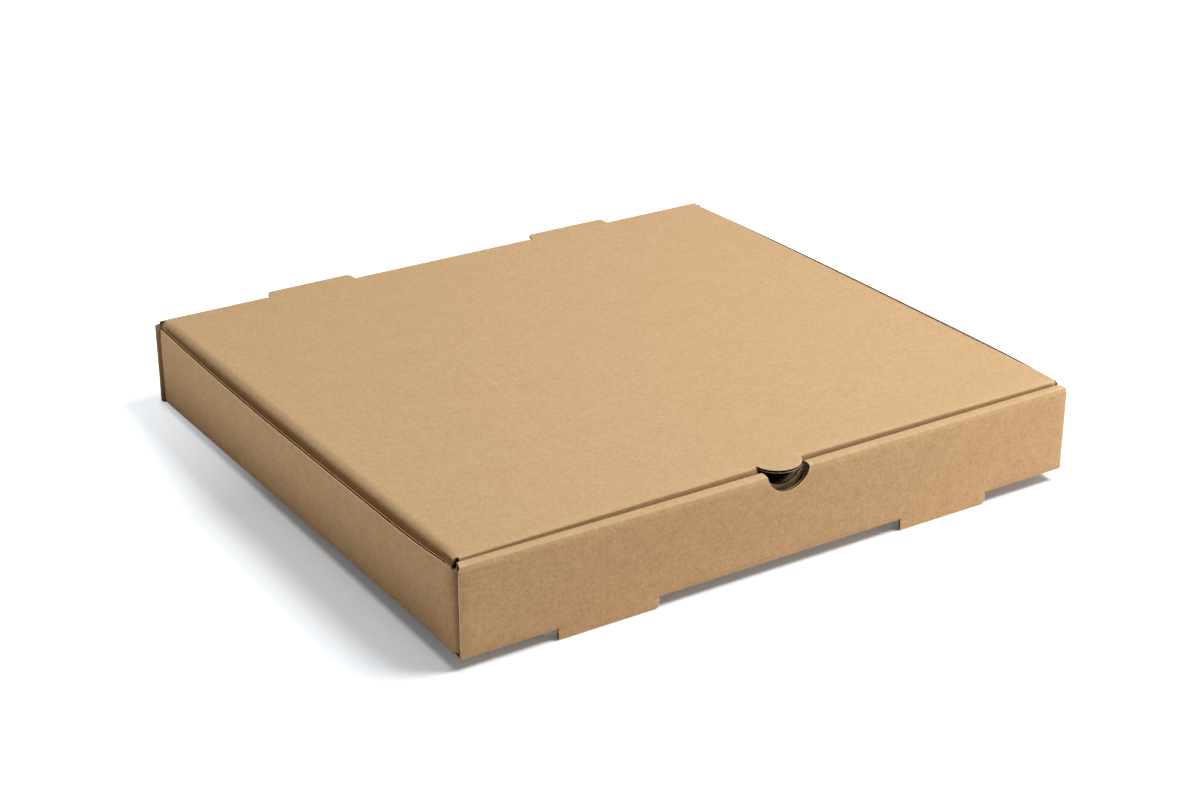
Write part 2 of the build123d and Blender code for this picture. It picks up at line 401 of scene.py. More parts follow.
def lid_outline():
    """Flat outline of the lid, from the lower edge of its front flap."""
    rear = []
    end = lid_v(TAB_END)
    for middle in (TAB_OFFSET, -TAB_OFFSET):
        corner = (middle + TAB_HALF - TAB_ROUND, end - TAB_ROUND)
        rear.append((middle + TAB_HALF, crease_v))
        rear += arc(corner, TAB_ROUND, 0, 90, CORNER_STEPS)
        rear.append((middle - TAB_HALF + TAB_SLANT, end))
        rear.append((middle - TAB_HALF, crease_v))
    return lid_side(LID_RIGHT, right_line) + rear + mirrored(lid_side(LID_END, end_line))


def thumb_slit():
    """Half-round cut in the front flap that frees the thumb tab."""
    tilt = math.degrees(math.asin((lid_fold[1] - thumb_v) / THUMB_RADIUS))
    centre = (THUMB_SHIFT, thumb_v)
    outer = arc(centre, THUMB_RADIUS + SLIT, 180 - tilt, 360 + tilt, THUMB_STEPS)
    inner = arc(centre, THUMB_RADIUS, 180 - tilt, 360 + tilt, THUMB_STEPS)
    return outer + inner[::-1]


def rear_edge():
    """Tray's edge at the crease, with the vents that the rear tabs leave."""
    top = crease[1]
    edge = [(-PANEL_END, top)]
    for middle in (-TAB_OFFSET, TAB_OFFSET):
        left = middle - TAB_HALF - SLIT
        right = middle + TAB_HALF + SLIT
        edge += [(left, top), (left, rear_v(VENT_FOOT)), (right, rear_v(VENT_FOOT)), (right, top)]
    return edge + [(PANEL_END, top)]


def wall_edge():
    """Edge of a side wall and its corner flaps, from the rear to the front."""
    flap_low = wall_shift
    flap_high = wall_shift + wall_line.length
    round_u = wall_top_u - WALL_ROUND
    return [
        (FLOOR_HALF, wall_rear_v),
        (wall_foot_u, wall_rear_v),
        (wall_foot_u, flap_low + FLAP_CUT),
        (wall_foot_u + FLAP_CUT, flap_low),
        (rear_flap_u, flap_low),
        (rear_flap_u, wall_rear_v),
        *arc((round_u, wall_rear_v + WALL_ROUND), WALL_ROUND, -90, 0, WALL_STEPS),
        *arc((round_u, wall_step_v - WALL_ROUND), WALL_ROUND, 0, 90, WALL_STEPS),
        (front_flap_u, wall_step_v),
        (front_flap_u, flap_high),
        (wall_foot_u + FLAP_CUT, flap_high),
        (wall_foot_u, flap_high - FLAP_CUT),
        (wall_foot_u, wall_front_v),
        (FLOOR_HALF, wall_front_v),
    ]


def front_edge():
    """End of the rolled front wall, from the floor to the lower edge of the inner panel."""
    strip_end = PANEL_END - STRIP_TAPER
    return [
        (FLOOR_HALF, front_fold[0]),
        (PANEL_END, front_fold[0] + TRAY_FOLD),
        (PANEL_END, roll_out[0] - STRIP_CORNER),
        (PANEL_END - STRIP_CORNER / 3, roll_out[0] - STRIP_CORNER / 3),
        (PANEL_END - STRIP_CORNER, roll_out[1] + STRIP_CORNER / 2),
        (strip_end, roll_in[0]),
        (strip_end, roll_in[1]),
        (strip_end - INNER_TAPER, inner_v(INNER_FOOT)),
    ]


def lock_edge():
    """Lower edge of the inner panel with its two lock tabs, from right to left."""
    half = FOOT_HALF - LOCK_INSET
    end = tray_line.length
    right = [(half, inner_v(INNER_FOOT)), (half, end - LOCK_CORNER), (half - LOCK_CORNER, end)]
    tab = right + mirrored(right)
    return [(middle + u, v) for middle in (FOOT_OFFSET, -FOOT_OFFSET) for u, v in tab]


def tray_outline():
    """Flat outline of the tray, from the crease at the lid."""
    rear_corner = [(PANEL_END, rear_fold[1] - TRAY_FOLD), (FLOOR_HALF, rear_fold[1])]
    side = rear_corner + wall_edge() + front_edge()
    return rear_edge() + side + lock_edge() + mirrored(side)


def foot_slits():
    """Cuts in the floor that free the feet, each with its right corner rounded."""
    slits = []
    for middle in (-FOOT_OFFSET, FOOT_OFFSET):
        left = middle - FOOT_HALF
        right = middle + FOOT_HALF
        corner = (right - FOOT_ROUND, foot_end_v + FOOT_ROUND)
        foot = [
            (left, front_fold[1]),
            (left, foot_end_v),
            *arc(corner, FOOT_ROUND, -90, 0, CORNER_STEPS),
            (right, front_fold[1]),
        ]
        floor = [
            (right + SLIT, front_fold[1]),
            (right + SLIT, foot_end_v - SLIT),
            (left - SLIT, foot_end_v - SLIT),
            (left - SLIT, front_fold[1]),
        ]
        slits.append(foot + floor)
    return slits


def thumb_notch():
    """Hole through the rolled front wall; its edge is higher in the inner panel."""
    centre = FRONT_TOP + NOTCH_RISE
    low = centre - NOTCH_RADIUS
    inner_low = low + INNER_NOTCH_LIFT
    top_half = math.sqrt(NOTCH_RADIUS**2 - (centre - STRIP_MIDDLE) ** 2)
    rise = STRIP_MIDDLE - inner_low
    inner_radius = (top_half**2 + rise**2) / (2 * rise)
    outer = arc((0, front_v(centre)), NOTCH_RADIUS, -90, NOTCH_END, NOTCH_STEPS)
    inner_centre = (0, inner_v(inner_low + inner_radius))
    inner = arc(inner_centre, inner_radius, INNER_NOTCH_END, 90, INNER_NOTCH_STEPS)
    right = [point for point in outer if point[1] < roll_out[0]]
    right += [(top_half, roll_out[1]), (top_half, roll_in[0])]
    right += [point for point in inner if point[1] > roll_in[1]]
    return [(u + NOTCH_SHIFT, v) for u, v in right + mirrored(right[1:-1])]


def on_thumb(u, v):
    """Which points of the flat lid lie on the thumb tab."""
    return (v < lid_fold[1]) & (np.hypot(u - THUMB_SHIFT, v - thumb_v) < THUMB_RADIUS + SLIT / 2)


def fold_lid(u, v, w):
    """Places in space of points of the flat lid."""
    y, z, ny, nz = lid_line.at(v)
    x = u.copy()
    y = y + w * ny
    z = z + w * nz
    thumb = on_thumb(u, v)
    fold_y, fold_z, _, _ = lid_line.at(np.array([lid_fold[1]]))
    y = np.where(thumb, fold_y[0] + v - lid_fold[1], y)
    z = np.where(thumb, fold_z[0] + w, z)
    between = (v > lid_fold[1] - TOUCH) & (v < lid_flap_v + TOUCH)
    ends = np.minimum(v - lid_fold[1], lid_flap_v - v)
    tight = 1 - smooth(ends, 0, LID_END_REACH)
    sides = ((-1, LID_LEFT, left_line, end_line), (1, LID_RIGHT, right_line, right_line))
    for way, flat, line, tight_line in sides:
        flap = (way * u > flat) & between
        out, down, nx, nd = (
            loose + (close - loose) * tight
            for loose, close in zip(line.at(np.abs(u)), tight_line.at(np.abs(u)))
        )
        x = np.where(flap, way * (out + w * nx), x)
        z = np.where(flap, down + w * nd, z)
    return settle_lid(np.stack([x, y, z], axis=1))


def fold_tray(u, v, w):
    """Places in space of points of the flat tray."""
    y, z, ny, nz = tray_line.at(v)
    x = u.copy()
    y = y + w * ny
    z = z + w * nz
    foot = on_foot(u, v)
    y = np.where(foot, OUTER_MIDDLE - w, y)
    z = np.where(foot, FLOOR_MIDDLE + TRAY_FOLD + v - front_fold[1], z)
    between = (v > wall_rear_v - TOUCH) & (v < wall_front_v + TOUCH)
    wall = (np.abs(u) > FLOOR_HALF) & (between | (np.abs(u) > (PANEL_END + wall_foot_u) / 2))
    out, up, nx, nz = side_line.at(np.abs(u) - FLOOR_HALF)
    px, py, mx, my = wall_line.at(v - wall_shift)
    push = out - SIDE_MIDDLE - w * nx
    x = np.where(wall, np.sign(u) * (px + mx * push), x)
    y = np.where(wall, py + my * push, y)
    z = np.where(wall, up - w * nz, z)
    # The front corner folds are drawn back from the ends of the front panel
    corner = smooth(np.abs(x), *CORNER_SIDE) * smooth(y, *CORNER_DEPTH)
    corner = corner * np.interp(z, (UNDER, SIDE_TOP), (CORNER_FOOT_SHARE, 1))
    y = np.where(wall, y + CORNER_BACK * corner, y)
    return settle_tray(np.stack([x, y, z], axis=1))


def smooth(value, low, high):
    """Soft step from 0 at low to 1 at high."""
    t = np.clip((value - low) / (high - low), 0, 1)
    return t * t * (3 - 2 * t)


def settle_lid(places):
    """The lid hangs at its left front corner, is lifted on the right, and its side flaps lean out."""
    x, y, z = places.T
    out = x / LID_CORNER
    forward = smooth(y, HINGE_Y - CREASE_FOLD, FRONT)
    along = np.clip(1 - (y / REAR) ** 2, 0, 1)
    low = smooth(z, UNDER, LID_TOP)
    z = z - np.clip(out**2, 0, 1) * np.where(x < 0, LEFT_DROP * forward, -RIGHT_LIFT * along)
    left = LEFT_LEAN * along * smooth(x, -LID_LEFT, -LID_CORNER)
    left = left * smooth(z, LID_TOP, LID_TOP - LID_LEFT_FOLD)
    front_end = smooth(y, FRONT + LID_FRONT_REACH, FRONT)
    right = RIGHT_LEAN * np.where(y < 0, 1, along) + RIGHT_CORNER * front_end
    x = x + (right * smooth(x, LID_LEFT, LID_RIGHT) - left) * low
    y = y - RIGHT_FORWARD * front_end * low * np.clip(x / SIDE, 0, 1) ** 2
    return np.stack([x, y, z], axis=1)


def settle_tray(places):
    """The rolled strip dips in the middle, the front bulges a little and the side walls more."""
    x, y, z = places.T
    across = np.clip(1 - (x / SIDE) ** 2, 0, 1)
    rise = smooth(z, INNER_FOOT, FRONT_TOP)
    rolled = 1 - smooth(y, *ROLL_DEPTH)
    inner = smooth(y, OUTER_MIDDLE, INNER_MIDDLE)
    z = z - across * rolled * rise * (FRONT_DIP + (STRIP_DIP - FRONT_DIP) * inner)
    bulged = y - FRONT_BULGE * across * rolled * rise * (1 - inner)
    # The lower front edge hangs a little, more on the left, but the feet stay on the ground
    sag = FRONT_SAG * (1 - x / SIDE / SAG_SKEW) * (1 - smooth(y, *SAG_DEPTH))
    z = z - sag * smooth(z, 0, UNDER) * (1 - smooth(z, *SAG_HEIGHT))
    # The side walls bow out evenly towards the rear, and fuller towards the front
    reach = np.clip(np.abs(y) / REAR, 0, 1)
    left = -LEFT_BULGE * (1 - np.where(y < 0, reach**LEFT_POWER, reach**2))
    right = RIGHT_BULGE * (1 - np.where(y < 0, reach**RIGHT_POWER, RIGHT_REAR_SHARE * reach**2))
    right = right * smooth(y, *RIGHT_DEPTH)
    wall = smooth(np.abs(x), *BULGE_SIDE) * smooth(z, UNDER, SIDE_TOP)
    x = x + np.where(x < 0, left, right) * wall
    # The rear wall's left end stands out beside the left wall
    x = x - REAR_END * smooth(y, *REAR_END_DEPTH) * smooth(-x, *REAR_END_SIDE)
    return np.stack([x, bulged, z], axis=1)


def pressed(length, folds):
    """Share of the board's thickness that is left near some folds."""
    share = np.ones(len(length))
    for start, end in folds:
        away = np.maximum(np.maximum(start - length, length - end), 0)
        share = np.minimum(share, 1 - FOLD_CRUSH * np.exp(-((away / FOLD_REACH) ** 2)))
    return share


def press_lid(u, v):
    """Share of the thickness left along the fold of the lid's front flap, but not in the thumb tab."""
    return np.where(on_thumb(u, v), 1, pressed(v, lid_line.folds))


def press_none(u, v):
    """Full thickness everywhere."""
    return np.ones(len(u))


def on_foot(u, v):
    """Which points of the flat tray lie on a foot."""
    near = np.abs(np.abs(u) - FOOT_OFFSET) < FOOT_HALF + SLIT / 2
    return near & (v < front_fold[1]) & (v > foot_end_v - SLIT / 2)


def press_tray(u, v):
    """Share of the thickness left along the tray's folds."""
    outside = np.abs(u) - FLOOR_HALF
    share = np.where(outside < 0, 1, pressed(outside, side_line.folds))
    share = np.minimum(share, np.where(outside > TRAY_FOLD, pressed(v - wall_shift, wall_line.folds), 1))
    # The front panel runs straight on into the feet
    beside_foot = smooth(np.abs(np.abs(u) - FOOT_OFFSET), FOOT_HALF - BOARD, FOOT_HALF + HALF)
    front_share = 1 - beside_foot * (1 - pressed(v, [front_fold]))
    return np.minimum.reduce([share, front_share, pressed(v, [rear_fold, roll_out, roll_in])])


def segments(loop):
    """Edges of a closed loop, each as its two ends."""
    return zip(loop, loop[1:] + loop[:1])


def divided(loop, step):
    """The loop's points with its long edges divided."""
    points = []
    for start, end in segments(loop):
        count = max(1, math.ceil(math.dist(start, end) / step))
        for i in range(count):
            t = i / count
            points.append((start[0] + (end[0] - start[0]) * t, start[1] + (end[1] - start[1]) * t))
    return points


def inside(points, loops):
    """Which points lie inside the outline and outside its holes."""
    u, v = points.T
    result = np.zeros(len(points), bool)
    for loop in loops:
        for (u0, v0), (u1, v1) in segments(loop):
            if v0 == v1:
                continue
            spans = (v0 > v) != (v1 > v)
            result ^= spans & (u < u0 + (v - v0) * (u1 - u0) / (v1 - v0))
    return result


def distances(points, tree):
    """Distance from each point to the nearest point in a search tree."""
    return np.array([tree.find((u, v, 0))[2] for u, v in points])


def search_tree(points):
    """Search tree over flat points."""
    tree = KDTree(len(points))
    for i, (u, v) in enumerate(points):
        tree.insert((u, v, 0), i)
    tree.balance()
    return tree


def rim_points(loops, tree):
    """Points a little inside the cut edges, so that the mesh can follow the crushed rim."""
    found = []
    for loop in loops:
        ring = np.array(loop)
        tangent = np.roll(ring, -1, axis=0) - np.roll(ring, 1, axis=0)
        tangent /= np.maximum(np.hypot(tangent[:, 0], tangent[:, 1]), 1e-9)[:, None]
        normal = np.stack([-tangent[:, 1], tangent[:, 0]], axis=1)
        for depth in RIM_DEPTHS:
            for way in (-1, 1):
                points = ring + way * depth * normal
                found.append(points[distances(points, tree) > RIM_CLEAR * depth])
    return np.concatenate(found)


def grid_points(outline, tree):
    """Points spread evenly over the sheet, clear of its edges."""
    low = np.min(outline, axis=0)
    high = np.max(outline, axis=0)
    columns = np.arange(low[0] + GRID / 2, high[0], GRID)
    rows = np.arange(low[1] + GRID / 2, high[1], GRID)
    points = np.stack(np.meshgrid(columns, rows), axis=-1).reshape(-1, 2)
    return points[distances(points, tree) > GRID / 3]


def ring_edges(loops):
    """Edges round some loops, whose points are numbered one loop after another."""
    edges = []
    for loop in loops:
        first = len(edges)
        count = len(loop)
        edges += [(first + i, first + (i + 1) % count) for i in range(count)]
    return edges


def triangulated(points, edges, loops):
    """Points and triangles of the sheet inside the loops, with all triangles turned one way."""
    result = delaunay_2d_cdt([Vector(point) for point in points], edges, [], 0, 1e-4)
    points = np.array([tuple(point) for point in result[0]])
    triangles = np.array(result[2])
    triangles = triangles[inside(points[triangles].mean(axis=1), loops)]
    a, b, c = (points[triangles[:, i]] for i in range(3))
    turned = (b[:, 0] - a[:, 0]) * (c[:, 1] - a[:, 1]) < (b[:, 1] - a[:, 1]) * (c[:, 0] - a[:, 0])
    triangles[turned] = triangles[turned][:, ::-1]
    used = np.unique(triangles)
    renumber = np.zeros(len(points), int)
    renumber[used] = np.arange(len(used))
    return points[used], renumber[triangles]


def border_edges(triangles):
    """Edges that belong to one triangle only."""
    sides = np.concatenate([triangles[:, [i, (i + 1) % 3]] for i in range(3)])
    known = {tuple(side) for side in sides}
    return np.array([side for side in sides if (side[1], side[0]) not in known])


class FlatSheet:
    """Triangles over a flat outline with holes, divided along the fold lines."""

    def __init__(self, loops, lines, uncut, pressed):
        self.loops = loops
        self.pressed = pressed
        fine = [divided(loop, EDGE_STEP) for loop in loops]
        edge_points = [point for loop in fine for point in loop]
        edges = ring_edges(fine)
        tree = search_tree(edge_points)
        extra = np.concatenate([rim_points(fine, tree), grid_points(fine[0], tree)])
        points = edge_points + [tuple(point) for point in extra[inside(extra, fine)]]
        for start, end in lines:
            count = max(1, math.ceil(math.dist(start, end) / GRID))
            edges += [(len(points) + i, len(points) + i + 1) for i in range(count)]
            points += [tuple(point) for point in np.linspace(start, end, count + 1)]
        self.points, self.triangles = triangulated(points, edges, fine)
        self.border = border_edges(self.triangles)
        self.raw_tree = search_tree([point for point in edge_points if not uncut(*point)])
        self.crush = self.crush_at(self.points)

    def crush_at(self, points):
        """Share of the board's thickness that is left near its cut edges and folds."""
        near = distances(points, self.raw_tree)
        return self.pressed(*points.T) * (1 - EDGE_CRUSH * np.exp(-((near / CRUSH_REACH) ** 2)))


def add_attribute(mesh, name, kind, field, values):
    """Values for each point of a mesh, which the materials read by name."""
    attribute = mesh.attributes.new(name, kind, "POINT")
    attribute.data.foreach_set(field, values.astype(np.float32).ravel())


def new_mesh(name, places, faces, flat, wear_and_highlight, bake):
    """Object with its flat coordinates, edge wear with a painted highlight, a mask for painted shade below
    the top, and bake map, from places in millimetres.
    """
    mesh = bpy.data.meshes.new(name)
    mesh.from_pydata((places * MM).tolist(), [], faces)
    # Mask for painted shade: 1 on the parts below the top, which take the darker, redder colours
    wall = 1 - smooth(places[:, 2], FRONT_TOP - 2 * BOARD, FRONT_TOP - HALF)
    add_attribute(mesh, "sheet", "FLOAT_VECTOR", "vector", flat)
    add_attribute(mesh, "wear_and_highlight", "FLOAT", "value", wear_and_highlight)
    add_attribute(mesh, "wall", "FLOAT", "value", wall)
    layer = mesh.uv_layers.new(name="OFBake")
    layer.data.foreach_set("uv", bake.astype(np.float32).ravel())
    mesh.polygons.foreach_set("use_smooth", np.ones(len(mesh.polygons), bool))
    mesh.set_sharp_from_angle(angle=SHARP_ANGLE)
    piece = bpy.data.objects.new(name, mesh)
    bpy.context.scene.collection.objects.link(piece)
    return piece


def liner_bake(sheet, outside):
    """Bake map of a liner: the face that shows takes most of it, the hidden one a corner."""
    low = sheet.points.min(axis=0) - BAKE_MARGIN
    span = np.ptp(sheet.points, axis=0) + 2 * BAKE_MARGIN
    shares = (sheet.points - low) / span
    shown = shares * SHOWN_SHARE
    hidden = shares * HIDDEN_SHARE + HIDDEN_PLACE
    upper, lower = (shown, hidden) if outside else (hidden, shown)
    a, b = sheet.border.T
    step = sheet.points[b] - sheet.points[a]
    outward = np.stack([step[:, 1], -step[:, 0]], axis=1) / np.hypot(step[:, 0], step[:, 1])[:, None]
    away = outward / span
    rims = np.stack([shown[a], shown[b], shown[b] + away, shown[a] + away], axis=1)
    maps = (upper[sheet.triangles], lower[sheet.triangles[:, ::-1]], rims)
    return np.concatenate([part.reshape(-1, 2) for part in maps])


def liner(name, sheet, fold, outside, start=0.0):
    """One paper liner as a thin closed skin on the outer or the inner side of the board."""
    count = len(sheet.points)
    u, v = sheet.points.T
    high = HALF if outside else LINER - HALF
    top = fold(u, v, high * sheet.crush)
    bottom = fold(u, v, (high - LINER) * sheet.crush)
    a, b = sheet.border.T
    rims = np.stack([a + count, b + count, b, a], axis=1)
    faces = sheet.triangles.tolist() + (sheet.triangles[:, ::-1] + count).tolist() + rims.tolist()
    # The third flat coordinate tells the papers apart, and the face towards the core
    layers = (0.0, LINER) if outside else (LAYER_STEP + LINER, LAYER_STEP)
    flat = np.concatenate([np.column_stack([u, v - start, np.full(count, layer)]) for layer in layers])
    near = distances(sheet.points, sheet.raw_tree)
    # Cut edges paler, from wear and a painted highlight
    wear_and_highlight = np.tile(np.exp(-((near / WEAR_AND_HIGHLIGHT_REACH) ** 2)), 2)
    return new_mesh(name, np.concatenate([top, bottom]), faces, flat, wear_and_highlight, liner_bake(sheet, outside))


def crossings(loops, v):
    """Stretches of the sheet along one line across it, as pairs of its ends."""
    marks = []
    for loop in loops:
        for (u0, v0), (u1, v1) in segments(loop):
            if (v0 > v) != (v1 > v):
                marks.append(u0 + (v - v0) * (u1 - u0) / (v1 - v0))
    marks.sort()
    return list(zip(marks[0::2], marks[1::2]))


def band_faces(first, columns):
    """Faces of one band of the core: its two sides, then its two ends."""
    a, b, c, d = np.arange(first, first + 4 * columns).reshape(4, columns).tolist()
    faces = []
    for i in range(columns - 1):
        faces.append((a[i], a[i + 1], b[i + 1], b[i]))
        faces.append((d[i], d[i + 1], c[i + 1], c[i]))
    faces.append((a[0], b[0], d[0], c[0]))
    faces.append((c[-1], d[-1], b[-1], a[-1]))
    return faces


def flute_bands(sheet, bends):
    """Narrow bands along the flutes: flat points, the side of the paper each is on, and faces."""
    low = sheet.points[:, 1].min()
    high = sheet.points[:, 1].max()
    step = FLUTE_PITCH / FLUTE_STEPS
    rows = np.arange(math.ceil(low / step) * step, high, step)
    width = np.abs(sheet.points[:, 0]).max()
    marks = np.sort(np.concatenate([np.arange(-width, width, CORE_GRID), bends]))
    points = []
    sides = []
    faces = []
    for v in rows[:-1]:
        for left, right in crossings(sheet.loops, v + step / 2):
            left += CORE_SET_BACK
            right -= CORE_SET_BACK
            if right - left < CORE_SHORTEST:
                continue
            inner = [mark for mark in marks if left + CORE_MARK_GAP < mark < right - CORE_MARK_GAP]
            columns = [left, *inner, right]
            faces += band_faces(len(points), len(columns))
            for side in (1, -1):
                for row in (v, v + step):
                    points += [(u, row) for u in columns]
                    sides += [side] * len(columns)
    return np.array(points), np.array(sides), faces


def core(name, sheet, fold, bends, start=0.0):
    """Fluted paper between the liners, as narrow bands that follow its wave."""
    flat, sides, faces = flute_bands(sheet, bends)
    u, v = flat.T
    phase = 2 * math.pi * v / FLUTE_PITCH
    slope = np.arctan(FLUTE_SWING * 2 * math.pi / FLUTE_PITCH * np.sin(phase))
    w = FLUTE_SWING * np.cos(phase) + sides * CORE / 2 / np.cos(slope)
    w = np.clip(w, LINER - HALF, HALF - LINER) * sheet.crush_at(flat)
    # The paper's two sides take one half of the bake map each
    corners = np.concatenate([np.array(face) for face in faces])
    bake = (flat[corners] - flat.min(axis=0) + BAKE_MARGIN / 2) / (np.ptp(flat, axis=0) + BAKE_MARGIN)
    bake[:, 1] = bake[:, 1] / 2 + np.where(sides[corners] > 0, 0, 0.5)
    pattern = np.column_stack([u, v - start, np.full(len(u), 2 * LAYER_STEP)])
    return new_mesh(name, fold(u, v, w), faces, pattern, np.zeros(len(u)), bake)


def across_lines(marks, low, high):
    """Fold lines that run across the sheet at each mark."""
    return [((low, mark), (high, mark)) for mark in marks]


def along_lines(marks, low, high):
    """Fold lines that run along the sheet at each mark."""
    return [((mark, low), (mark, high)) for mark in marks]


def make_lid():
    """Lid: two liners and a core, riding on the lid's body."""
    loops = [lid_outline(), thumb_slit()]
    bends = [-mark for mark in left_line.stations() + end_line.stations()] + right_line.stations()
    lines = across_lines(lid_line.stations(), -LID_END, LID_RIGHT)
    lines += along_lines(bends, lid_fold[1], lid_flap_v)
    sheet = FlatSheet(loops, lines, lambda u, v: abs(v - crease_v) < TOUCH, press_lid)
    pieces = [
        liner("lid_outer_liner", sheet, fold_lid, True, crease_v),
        core("lid_core", sheet, fold_lid, bends, crease_v),
        liner("lid_inner_liner", sheet, fold_lid, False, crease_v),
    ]
    for piece in pieces:
        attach(piece, "lid")
        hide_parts("lid")
    return pieces


def make_tray():
    """Tray: two liners and a core, riding on the tray's body."""
    loops = [tray_outline(), *foot_slits(), thumb_notch()]
    bends = [way * (FLOOR_HALF + mark) for mark in side_line.stations() for way in (-1, 1)]
    marks = [mark for mark in tray_line.stations() if mark > crease[1]]
    lines = across_lines(marks, -PANEL_END, PANEL_END)
    lines += along_lines(bends, wall_rear_v, wall_front_v)
    for mark in wall_line.stations():
        mark += wall_shift
        lines += [((way * wall_foot_u, mark), (way * wall_top_u, mark)) for way in (-1, 1)]
    sheet = FlatSheet(loops, lines, lambda u, v: v < crease[1] + TOUCH and abs(u) < PANEL_END, press_tray)
    pieces = [
        liner("tray_outer_liner", sheet, fold_tray, True),
        core("tray_core", sheet, fold_tray, bends),
        liner("tray_inner_liner", sheet, fold_tray, False),
    ]
    for piece in pieces:
        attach(piece, "tray")
        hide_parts("tray")
    return pieces


def make_crease():
    """Liners of the crease between rear wall and lid, in the stretches beside the rear tabs."""
    inner = TAB_OFFSET - TAB_HALF - SLIT
    outer = TAB_OFFSET + TAB_HALF + SLIT
    stretches = [(-LID_CORNER, -outer), (-inner, inner), (outer, LID_CORNER)]
    marks = np.linspace(crease[0], crease[1], 2 * BEND_STEPS + 1)
    pieces = []
    for outside in (True, False):
        side = "outer" if outside else "inner"
        for i, (left, right) in enumerate(stretches):
            loop = [(left, crease[0]), (right, crease[0]), (right, crease[1]), (left, crease[1])]
            lines = across_lines(marks[1:-1], left, right)
            sheet = FlatSheet([loop], lines, lambda u, v: left + TOUCH < u < right - TOUCH, press_none)
            name = f"crease_{side}_{i + 1}"
            piece = liner(name, sheet, fold_tray, outside)
            w = HALF if outside else -HALF
            start, end = fold_tray(np.zeros(2), np.array([crease[1], crease[0]]), np.full(2, w)) * MM
            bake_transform(piece)
            pieces.append(piece)
    return pieces


def link(tree, *pairs):
    """Joins sockets of a node tree, from output to input."""
    for output, target in pairs:
        tree.links.new(output, target)


def node(tree, kind, **settings):
    """New node with some of its settings."""
    made = tree.nodes.new(kind)
    for key, value in settings.items():
        setattr(made, key, value)
    return made


def parts(tree, vector):
    """The X, Y and Z of a vector."""
    made = node(tree, "ShaderNodeSeparateXYZ")
    link(tree, (vector, made.inputs["Vector"]))
    return made.outputs


def noise(tree, vector, scale, detail=2.0, roughness=0.5, distortion=0.0):
    """Noise over the sheet's own coordinates, as a value of 0 to 1."""
    made = node(tree, "ShaderNodeTexNoise")
    made.inputs["Scale"].default_value = scale
    made.inputs["Detail"].default_value = detail
    made.inputs["Roughness"].default_value = roughness
    made.inputs["Distortion"].default_value = distortion
    link(tree, (vector, made.inputs["Vector"]))
    return made.outputs["Fac"]


def stretched(tree, vector, scale, turn=0.0):
    """Sheet coordinates stretched, and turned on the sheet."""
    made = node(tree, "ShaderNodeMapping")
    made.inputs["Scale"].default_value = scale
    made.inputs["Rotation"].default_value = (0, 0, turn)
    link(tree, (vector, made.inputs["Vector"]))
    return made.outputs["Vector"]


def remap(tree, value, low, high, to_low, to_high):
    """Value moved from one range to another, and kept within it."""
    made = node(tree, "ShaderNodeMapRange")
    for name, number in zip(("From Min", "From Max", "To Min", "To Max"), (low, high, to_low, to_high)):
        made.inputs[name].default_value = number
    link(tree, (value, made.inputs["Value"]))
    return made.outputs["Result"]


def maths(tree, operation, a, b):
    """Sum, product or other result of two values, each a socket or a number."""
    made = node(tree, "ShaderNodeMath", operation=operation)
    for socket, value in zip(made.inputs, (a, b)):
        if isinstance(value, (int, float)):
            socket.default_value = value
        else:
            link(tree, (value, socket))
    return made.outputs["Value"]


def mixed(tree, factor, first, second):
    """Two colours mixed by a factor; each is a socket or a colour."""
    made = node(tree, "ShaderNodeMix", data_type="RGBA")
    link(tree, (factor, made.inputs["Factor"]))
    for socket, value in zip((made.inputs[6], made.inputs[7]), (first, second)):
        if isinstance(value, tuple):
            socket.default_value = (*value, 1)
        else:
            link(tree, (value, socket))
    return made.outputs[2]


# Colours of the paper
# Painted light and shade: the top takes the lighter, more golden colours and the parts below it the darker,
# redder ones, standing for the different light on each
LIT_TOP_DARK = (0.545, 0.345, 0.176)
LIT_TOP_LIGHT = (0.665, 0.452, 0.246)
SHADED_WALL_DARK = (0.512, 0.300, 0.142)
SHADED_WALL_LIGHT = (0.662, 0.423, 0.219)
# Inner liner: darker kraft, made this dark partly as painted shade for the groove beside the lid, the notch
# and the gaps
INSIDE_KRAFT_SHADE_DARK = (0.330, 0.215, 0.120)
INSIDE_KRAFT_SHADE_LIGHT = (0.420, 0.290, 0.170)
KRAFT_SPECK = (0.300, 0.165, 0.075)
# Pale kraft for flecks, and at cut edges for wear and a painted highlight
KRAFT_PALE = (0.790, 0.575, 0.345)
# Dark paper of the core and of the liners' faces towards it: painted shade inside the board
CORE_SHADE_DARK = (0.11, 0.065, 0.03)
CORE_SHADE_LIGHT = (0.20, 0.12, 0.06)

# Its pattern and finish
TONE_RANGE = (0.38, 0.62)
SPECK_RANGE = (0.72, 0.80)
SPECK_SHARE = 0.45
FLECK_SHARE = 0.35
# Share of pale kraft at cut edges: wear and a painted highlight
WEAR_AND_HIGHLIGHT_SHARE = 0.75
# Depth in a liner where the painted shade of its face towards the core begins
HIDDEN_SHADE_START = 0.7 * LINER
KRAFT_ROUGHNESS = (0.80, 0.92)
CORE_ROUGHNESS = 0.9
PAPER_SPECULAR = 0.2
FIBRE_HEIGHT = 0.10


def new_material(name, specular):
    """Material with its node tree and its shader."""
    material = bpy.data.materials.new(name)
    material.use_nodes = True
    tree = material.node_tree
    shader = tree.nodes["Principled BSDF"]
    shader.inputs["Specular IOR Level"].default_value = specular
    return material, tree, shader


def attribute(tree, name, output="Fac"):
    """Values that the meshes carry under a name."""
    return node(tree, "ShaderNodeAttribute", attribute_name=name).outputs[output]


